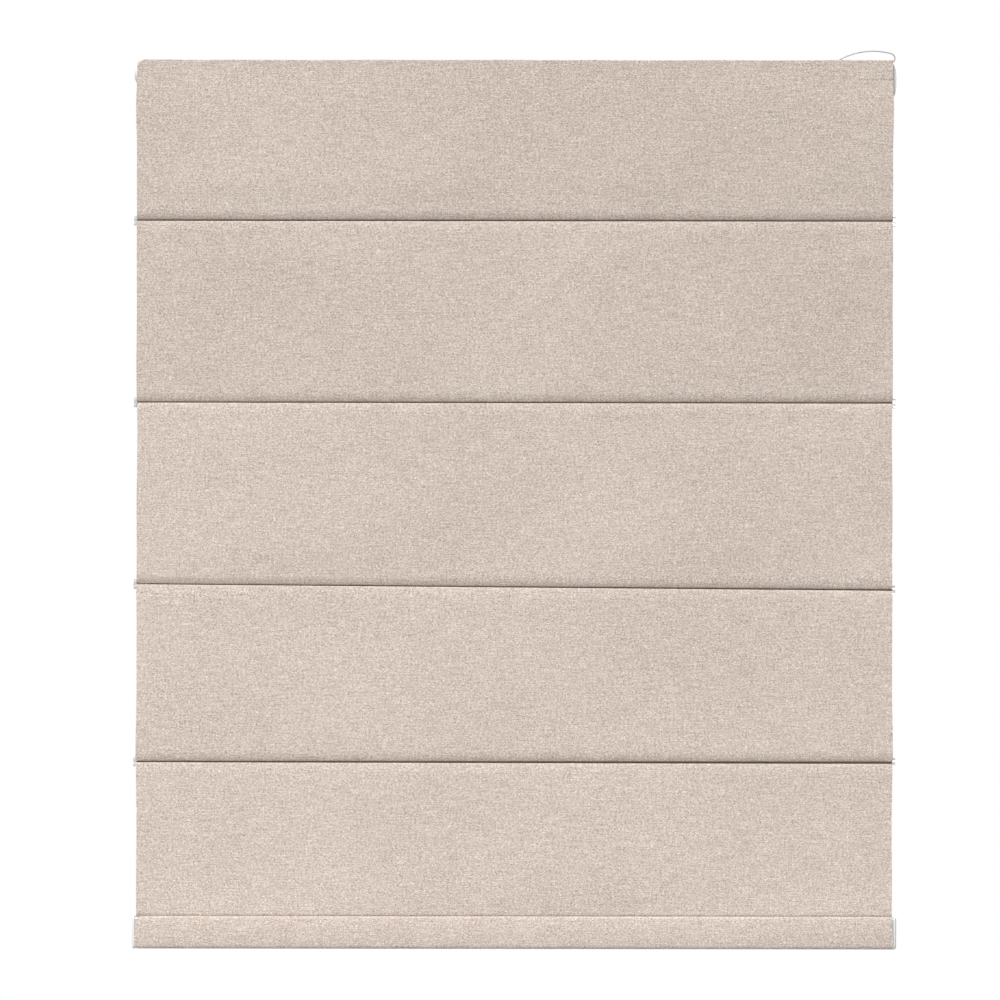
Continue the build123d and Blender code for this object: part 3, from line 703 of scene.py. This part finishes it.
def add_node(tree, kind, settings=None, **inputs):
    """New node of a kind, with its settings set and each given input linked or set."""
    made = tree.nodes.new(kind)
    for key, value in (settings or {}).items():
        setattr(made, key, value)
    for key, value in inputs.items():
        if isinstance(value, bpy.types.NodeSocket):
            tree.links.new(value, input_of(made, key))
        else:
            input_of(made, key).default_value = value
    return made


def new_finish(name, **surface):
    """Material with a Principled surface and its inputs set."""
    made = bpy.data.materials.new(name)
    made.use_nodes = True
    tree = made.node_tree
    shader = tree.nodes["Principled BSDF"]
    for key, value in surface.items():
        input_of(shader, key).default_value = value
    return made, tree, shader


def object_place(tree):
    """The piece's own coordinates, in metres."""
    return add_node(tree, "ShaderNodeTexCoord").outputs["Object"]


print("materials so far", len(bpy.data.materials))

# %% [markdown]
# Most finishes need the same few steps: arithmetic on a value, a noise stretched along an axis, a
# ramp of tones and a bump. Each gets a short name, so a finish reads almost like its formula.

# %% Helper: steps of a finish
def math(tree, operation, a, b=0.0, c=0.0):
    """Result of one arithmetic node."""
    return add_node(tree, "ShaderNodeMath", {"operation": operation}, i0=a, i1=b, i2=c).outputs[0]


def grain(tree, coordinates, scale, detail=2.0, roughness=0.5):
    """Noise stretched by a scale along each axis of the coordinates."""
    mapped = add_node(tree, "ShaderNodeMapping", Vector=coordinates, Scale=scale).outputs[0]
    noise = add_node(tree, "ShaderNodeTexNoise", Vector=mapped, Scale=1.0, Detail=detail,
                     Roughness=roughness)
    return noise.outputs["Fac"]


def tones(tree, factor, stops):
    """Colour ramp over a factor: a list of (place, colour)."""
    ramp = add_node(tree, "ShaderNodeValToRGB", i0=factor)
    elements = ramp.color_ramp.elements
    elements[0].position, elements[0].color = stops[0][0], (*stops[0][1], 1)
    elements[1].position, elements[1].color = stops[-1][0], (*stops[-1][1], 1)
    for place, colour in stops[1:-1]:
        elements.new(place).color = (*colour, 1)
    return ramp.outputs["Color"]


def colour_by(tree, shader, factor, stops):
    """Colours a surface by a ramp of tones."""
    tree.links.new(tones(tree, factor, stops), shader.inputs["Base Color"])


def bump(tree, shader, height, strength, distance):
    """Bumps a surface by a height."""
    made = add_node(tree, "ShaderNodeBump", Strength=strength, Distance=distance, Height=height)
    tree.links.new(made.outputs["Normal"], shader.inputs["Normal"])


print("steps of a finish", [step.__name__ for step in (math, grain, tones, colour_by, bump)])

# %% [markdown]
# The cloth is an oatmeal linen look in plain weave. A picture of cloth could be tiled over it, but the
# repeats would show. Instead the flat map is cut into squares one yarn wide, like a chessboard: on one
# colour of square the weft lies on top, on the other the warp. Each yarn has its own tone for a short
# length, drawn by white noise from the numbers of its row and length.

# %% Finish: yarns of the cloth
yarn = 0.9 * MM
weft_length = 2.0 * MM
warp_length = 1.1 * MM
yarn_offset = 40


def yarn_tones(tree, along, number, set_number, length):
    """White noise of (length number, yarn number), where each yarn's lengths start at a random place."""
    key = math(tree, "ADD", number, set_number)
    offset = add_node(tree, "ShaderNodeTexWhiteNoise", {"noise_dimensions": "1D"}, W=key).outputs["Value"]
    start = math(tree, "MULTIPLY", offset, yarn_offset)
    place = math(tree, "MULTIPLY_ADD", along, 1 / length, start)
    cell = add_node(tree, "ShaderNodeCombineXYZ", X=math(tree, "FLOOR", place), Y=number, Z=set_number)
    return add_node(tree, "ShaderNodeTexWhiteNoise", Vector=cell.outputs[0]).outputs["Value"]


cloth_finish, tree, shader = new_finish("oatmeal_linen", Roughness=0.92, Specular_IOR_Level=0.25,
                                        Sheen_Weight=0.12, Sheen_Roughness=0.5)
cloth_map = add_node(tree, "ShaderNodeUVMap", {"uv_map": "cloth_map"}).outputs[0]
axes = add_node(tree, "ShaderNodeSeparateXYZ", Vector=cloth_map)
across, along = axes.outputs[0], axes.outputs[1]
column = math(tree, "FLOOR", math(tree, "DIVIDE", across, yarn))
row = math(tree, "FLOOR", math(tree, "DIVIDE", along, yarn))
chess = math(tree, "FLOORED_MODULO", math(tree, "ADD", column, row), 2)
weft = yarn_tones(tree, across, row, set_number=0.0, length=weft_length)
warp = yarn_tones(tree, along, column, set_number=7.0, length=warp_length)
woven = add_node(tree, "ShaderNodeMix", i0=chess, i2=weft, i3=warp).outputs[0]
print("nodes for the yarns", len(tree.nodes))

# %% [markdown]
# Real linen is uneven on several scales. Long stretched noises stand for slubs along the weft and
# ridges along the warp, a short one for flecks, and a very broad one for slight changes over a whole
# panel. Their weighted sum goes through one ramp of tones. A product of two sines raises each
# crossing of yarns a little.

# %% Finish: linen-look cloth
slub = grain(tree, cloth_map, (26, 520, 1))
ridge = grain(tree, cloth_map, (480, 40, 1))
fleck = grain(tree, cloth_map, (290, 760, 1), detail=1.0)
broad = math(tree, "SUBTRACT", grain(tree, cloth_map, (2.4, 2.4, 1)), 0.5)
mixed = math(tree, "MULTIPLY", woven, 0.28)
for noise, weight in ((fleck, 0.40), (slub, 0.20), (ridge, 0.12), (broad, 0.08)):
    mixed = math(tree, "ADD", mixed, math(tree, "MULTIPLY", noise, weight))
colour_by(tree, shader, mixed, [(0.30, (0.276, 0.222, 0.182)), (0.455, (0.522, 0.437, 0.380)),
                                (0.545, (0.654, 0.558, 0.494)), (0.70, (0.895, 0.802, 0.732))])
over = math(tree, "SINE", math(tree, "MULTIPLY", across, np.pi / yarn))
under = math(tree, "SINE", math(tree, "MULTIPLY", along, np.pi / yarn))
crossing = math(tree, "ABSOLUTE", math(tree, "MULTIPLY", over, under))
bump(tree, shader, math(tree, "ADD", crossing, woven), strength=0.35, distance=0.15 * MM)
print("cloth nodes", len(tree.nodes))

# %% [markdown]
# The sewing thread is much darker than the cloth, with a fine twist. Its stitches are so small that
# one noise is enough.

# %% Finish: sewing thread
thread_finish, tree, shader = new_finish("sewing_thread", Roughness=0.8)
twist = grain(tree, object_place(tree), (1800, 1800, 1800))
colour_by(tree, shader, twist, [(0.3, (0.090, 0.072, 0.060)), (0.7, (0.16, 0.13, 0.11))])
bump(tree, shader, twist, strength=0.3, distance=0.1 * MM)
print("thread nodes", len(tree.nodes))

# %% [markdown]
# The cords are braided polyester, pale grey. The strands could be modelled, but the cord is only two
# millimetres thick, so two crossing waves on the object's coordinates stand for the braid.

# %% Finish: braided cord
cord_finish, tree, shader = new_finish("pale_braid", Roughness=0.62, Sheen_Weight=0.1)
place = object_place(tree)
braid_a = add_node(tree, "ShaderNodeTexWave", {"bands_direction": "DIAGONAL"}, Vector=place,
                   Scale=190.0, Distortion=1.5)
braid_b = add_node(tree, "ShaderNodeTexWave", {"bands_direction": "Z"}, Vector=place,
                   Scale=170.0, Distortion=1.0)
braid = math(tree, "MULTIPLY", braid_a.outputs["Fac"], braid_b.outputs["Fac"])
colour_by(tree, shader, braid, [(0.1, (0.44, 0.44, 0.45)), (0.7, (0.62, 0.62, 0.625))])
bump(tree, shader, braid, strength=0.4, distance=0.2 * MM)
print("cord nodes", len(tree.nodes))

# %% [markdown]
# Moulded white plastic, clear plastic, powder coat, bare aluminium and zinc-plated steel differ in
# roughness, metalness and grain, so one function makes them all. It adds a fine noise to roughness
# and bump and a slow one to colour. A stretched scale gives the drawn lines of an extrusion.

# %% Finish: plastics and metals
def hard_finish(name, dark, pale, rough, scale, depth, **surface):
    """Principled surface with colour between two tones, roughness between two values and a fine bump."""
    made, tree, shader = new_finish(name, **surface)
    place = object_place(tree)
    fine = grain(tree, place, scale, detail=3.0, roughness=0.6)
    slow = grain(tree, place, (9, 9, 9))
    colour_by(tree, shader, slow, [(0.3, dark), (0.7, pale)])
    spread = add_node(tree, "ShaderNodeMapRange", Value=fine, To_Min=rough[0], To_Max=rough[1])
    tree.links.new(spread.outputs[0], shader.inputs["Roughness"])
    bump(tree, shader, fine, strength=0.25, distance=depth)
    return made


finishes = {
    "cloth": cloth_finish,
    "cord": cord_finish,
    "white_plastic": hard_finish("white_moulding", (0.70, 0.70, 0.69), (0.77, 0.77, 0.76), (0.38, 0.52),
                                 (700, 700, 700), 0.05 * MM),
    "clear_plastic": hard_finish("clear_moulding", (0.64, 0.66, 0.67), (0.74, 0.755, 0.765), (0.08, 0.2),
                                 (6, 500, 500), 0.04 * MM, Transmission_Weight=0.78, IOR=1.47),
    # The battens get a dark warm brown as painted shade: they show only in the thin gaps at the seams,
    # where the brown stands in for the shade inside those crevices.
    "batten_plastic": hard_finish("painted_shade_batten", (0.40, 0.32, 0.255), (0.48, 0.395, 0.32), (0.3, 0.45),
                                  (6, 500, 500), 0.04 * MM, Transmission_Weight=0.25, IOR=1.47),
    "rail_finish": hard_finish("white_powder_coat", (0.74, 0.74, 0.73), (0.79, 0.79, 0.78), (0.42, 0.58),
                               (900, 900, 900), 0.06 * MM),
    "bracket_paint": hard_finish("bracket_coat", (0.72, 0.72, 0.71), (0.78, 0.78, 0.77), (0.40, 0.55),
                                 (800, 800, 800), 0.06 * MM),
    "rail_aluminium": hard_finish("drawn_aluminium", (0.38, 0.39, 0.40), (0.46, 0.47, 0.48), (0.42, 0.60),
                                  (4, 1400, 1400), 0.03 * MM, Metallic=1.0),
    "steel": hard_finish("zinc_plate", (0.55, 0.55, 0.54), (0.68, 0.68, 0.67), (0.25, 0.42),
                         (600, 600, 600), 0.03 * MM, Metallic=1.0),
    "strip": hard_finish("pile_strip", (0.66, 0.66, 0.65), (0.76, 0.76, 0.75), (0.85, 0.98),
                         (1300, 1300, 1300), 0.4 * MM),
}
print("finishes", sorted(finishes))

# %% [markdown]
# The solid parts keep their shapes and get these finishes by their slot. The moulded ends and the
# brackets also get welded corners and a small bevel, because no such edge is perfectly sharp and
# the light catches it. A modifier does this without touching the mesh.

# %% Dress the solid parts
slot_of = {row["node"]: row["material_slot"] for row in frame["record"]["subparts"]}
for name, node in frame["nodes"].items():
    node.data.materials.clear()
    node.data.materials.append(finishes[slot_of[name]])

bevelled = ["control_housing", "idle_end_cap", "bottom_cap_left", "bottom_cap_right"]
bevelled += ["wall_bracket_1", "wall_bracket_2"]
bevelled += [f"batten_caps_{k}" for k in range(1, 5)]
for name in bevelled:
    node = frame["nodes"][name]
    weld = node.modifiers.new("weld_corners", "WELD")
    weld.merge_threshold = 0.005 * MM
    bevel = node.modifiers.new("soft_edges", "BEVEL")
    bevel.width = 0.35 * MM
    bevel.segments = 2
    bevel.limit_method = "ANGLE"
    bevel.angle_limit = np.radians(40)
print("bevelled", len(bevelled))

# %% [markdown]
# Now each new piece is tied to the part of the blind that carries it. A held edge rides on its
# batten or on the bottom bar. A panel rides on what holds its upper edge. Parenting by hand would do
# for one pose, but a tie to a body works at every pose.

# %% Tie the cloth to the bodies
def dress(piece, finish, body):
    """Gives a piece its finish and ties it to a body."""
    piece.data.materials.append(finish)
    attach(piece, body)


battens = [f"batten_carrier_{k}" for k in range(1, panel_count)]
for piece, body in zip(upper_edges + lower_edges, battens + battens + ["bottom_bar"]):
    dress(piece, cloth_finish, body)
for piece, body in zip(panels, ["headrail"] + battens):
    dress(piece, cloth_finish, body)
dress(rail_cover, cloth_finish, "bottom_bar")
dress(hem_stitches, thread_finish, "headrail")
print("cloth pieces", len(panels + upper_edges + lower_edges) + 1)

# %% [markdown]
# As the bottom rail rises, the real cloth folds into loops. The panels and the rail's cover drawn
# with the solid parts are hidden, since the new pieces take their place, and each new panel gets a
# mesh of its own. The height of the run into each batten above its seam is put in a list, none for
# the last panel, which ends in the rail.

# %% Hide the drawn panels and the rail's cover
run_above = np.full(panel_count, run_offset)
run_above[last_panel] = 0
for number, panel in enumerate(panels):
    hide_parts(f"fabric_panel_{number + 1}")
    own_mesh(panel)

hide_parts("bottom_rail_cover")

# %% [markdown]
# The control cord and the straight lift cords hang from the headrail, and the drawn cords are
# hidden. The turns on the drums are tied to the drive, so they go round with it.

# %% Tie the cords to the bodies
dress(loop_cord, cord_finish, "headrail")
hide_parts("control_cord")

dress(lift_falls, cord_finish, "headrail")
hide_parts("lift_cord_1", "lift_cord_2", "lift_cord_3")
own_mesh(lift_falls)

dress(lift_turns, cord_finish, "drive")

# %% [markdown]
# The stage is a pale floor well below the blind: one face is enough. It throws a little light up and
# catches the shadow.

# %% Floor
floor_z = -3.0
floor_half = 3.0
floor_back = 1.6
floor_corners = [(-floor_half, -floor_half, floor_z), (floor_half, -floor_half, floor_z),
                 (floor_half, floor_back, floor_z), (-floor_half, floor_back, floor_z)]
floor_mesh = bpy.data.meshes.new("studio_floor")
floor_mesh.from_pydata(floor_corners, [], [(0, 1, 2, 3)])
floor = bpy.data.objects.new("studio_floor", floor_mesh)
bpy.context.scene.collection.objects.link(floor)
floor_finish = new_finish("pale_floor", Base_Color=(0.64, 0.64, 0.64, 1), Roughness=0.8)[0]
floor_mesh.materials.append(floor_finish)
print("floor at", floor_z)

# %% [markdown]
# The surround is white for camera, glossy and transmitted rays only. For lighting it is dim, and
# brighter above than below like a room, so the cloth shows its own colour.

# %% Surround
world = bpy.data.worlds.new("studio")
bpy.context.scene.world = world
world.use_nodes = True
tree = world.node_tree
tree.nodes.clear()
path = add_node(tree, "ShaderNodeLightPath")
seen = math(tree, "MAXIMUM", path.outputs["Is Camera Ray"], path.outputs["Is Glossy Ray"])
seen = math(tree, "MAXIMUM", seen, path.outputs["Is Transmission Ray"])
facing = add_node(tree, "ShaderNodeTexCoord").outputs["Generated"]
height = add_node(tree, "ShaderNodeSeparateXYZ", Vector=facing).outputs["Z"]
glow = add_node(tree, "ShaderNodeMapRange", Value=height, From_Min=-0.5, From_Max=0.9,
                To_Min=0.03, To_Max=0.40)
dim = add_node(tree, "ShaderNodeBackground", Color=(1, 1, 1, 1), Strength=glow.outputs[0])
white = add_node(tree, "ShaderNodeBackground", Color=(1, 1, 1, 1), Strength=1.0)
blend = add_node(tree, "ShaderNodeMixShader", i0=seen, i1=dim.outputs[0], i2=white.outputs[0])
add_node(tree, "ShaderNodeOutputWorld", Surface=blend.outputs[0])
print("surround nodes", len(tree.nodes))

# %% [markdown]
# Three lamps. The main one is a broad light high in front, a little to the left, and so far away that
# it lights the blind evenly from top to bottom: a sun lamp with a wide disc. It makes the upper edges
# of the panels bright and leaves the undersides in shade. A soft square lamp at the left evens this
# out a little, and another behind the blind shows its back to anyone who walks round it.

# %% Lamps
def aimed_lamp(name, kind, energy, place, target):
    """Lamp at a place, turned so that its -Z axis points along target - place."""
    data = bpy.data.lights.new(name, kind)
    data.energy = energy
    lamp = bpy.data.objects.new(name, data)
    bpy.context.scene.collection.objects.link(lamp)
    lamp.location = place
    lamp.rotation_euler = (Vector(target) - Vector(place)).to_track_quat("-Z", "Y").to_euler()
    return data


def square_lamp(name, size, energy, place, target):
    """Aimed lamp that is a glowing square."""
    data = aimed_lamp(name, "AREA", energy, place, target)
    data.shape = "SQUARE"
    data.size = size


main_light = aimed_lamp("main_light", "SUN", energy=3.55, place=(-2.0, -4.0, 4.1), target=(0, 0, -0.6))
main_light.angle = np.radians(32)
square_lamp("fill_light", size=2.2, energy=21, place=(-2.4, -3.0, -0.8), target=(-0.2, 0, -0.7))
square_lamp("back_light", size=2.4, energy=60, place=(1.2, 3.6, 0.6), target=(0, 0, -0.7))
print("lamps", [light.name for light in bpy.data.lights])

# %% [markdown]
# The camera stands straight in front, far away, with a long lens, so that the sides stay parallel.
# Its place follows from the frame of the picture: the blind's middle lies a little right of the
# picture's middle. A tiny roll matches the picture, which leans by less than a tenth of a degree.

# %% Camera
picture_width = 1.5873
picture_x = -0.0231
picture_z = -0.6773
picture_roll = -0.08
camera_distance = 5.6
sensor_width = 36
camera_data = bpy.data.cameras.new("front_camera")
camera_data.sensor_fit = "HORIZONTAL"
camera_data.sensor_width = sensor_width
camera_data.lens = sensor_width * camera_distance / picture_width
camera = bpy.data.objects.new("front_camera", camera_data)
bpy.context.scene.collection.objects.link(camera)
camera.location = (picture_x, cloth_y - camera_distance, picture_z)
camera.rotation_euler = (np.radians(90), np.radians(picture_roll), 0)
bpy.context.scene.camera = camera
bpy.context.scene.view_settings.view_transform = "Standard"
print("lens", round(camera_data.lens, 1))
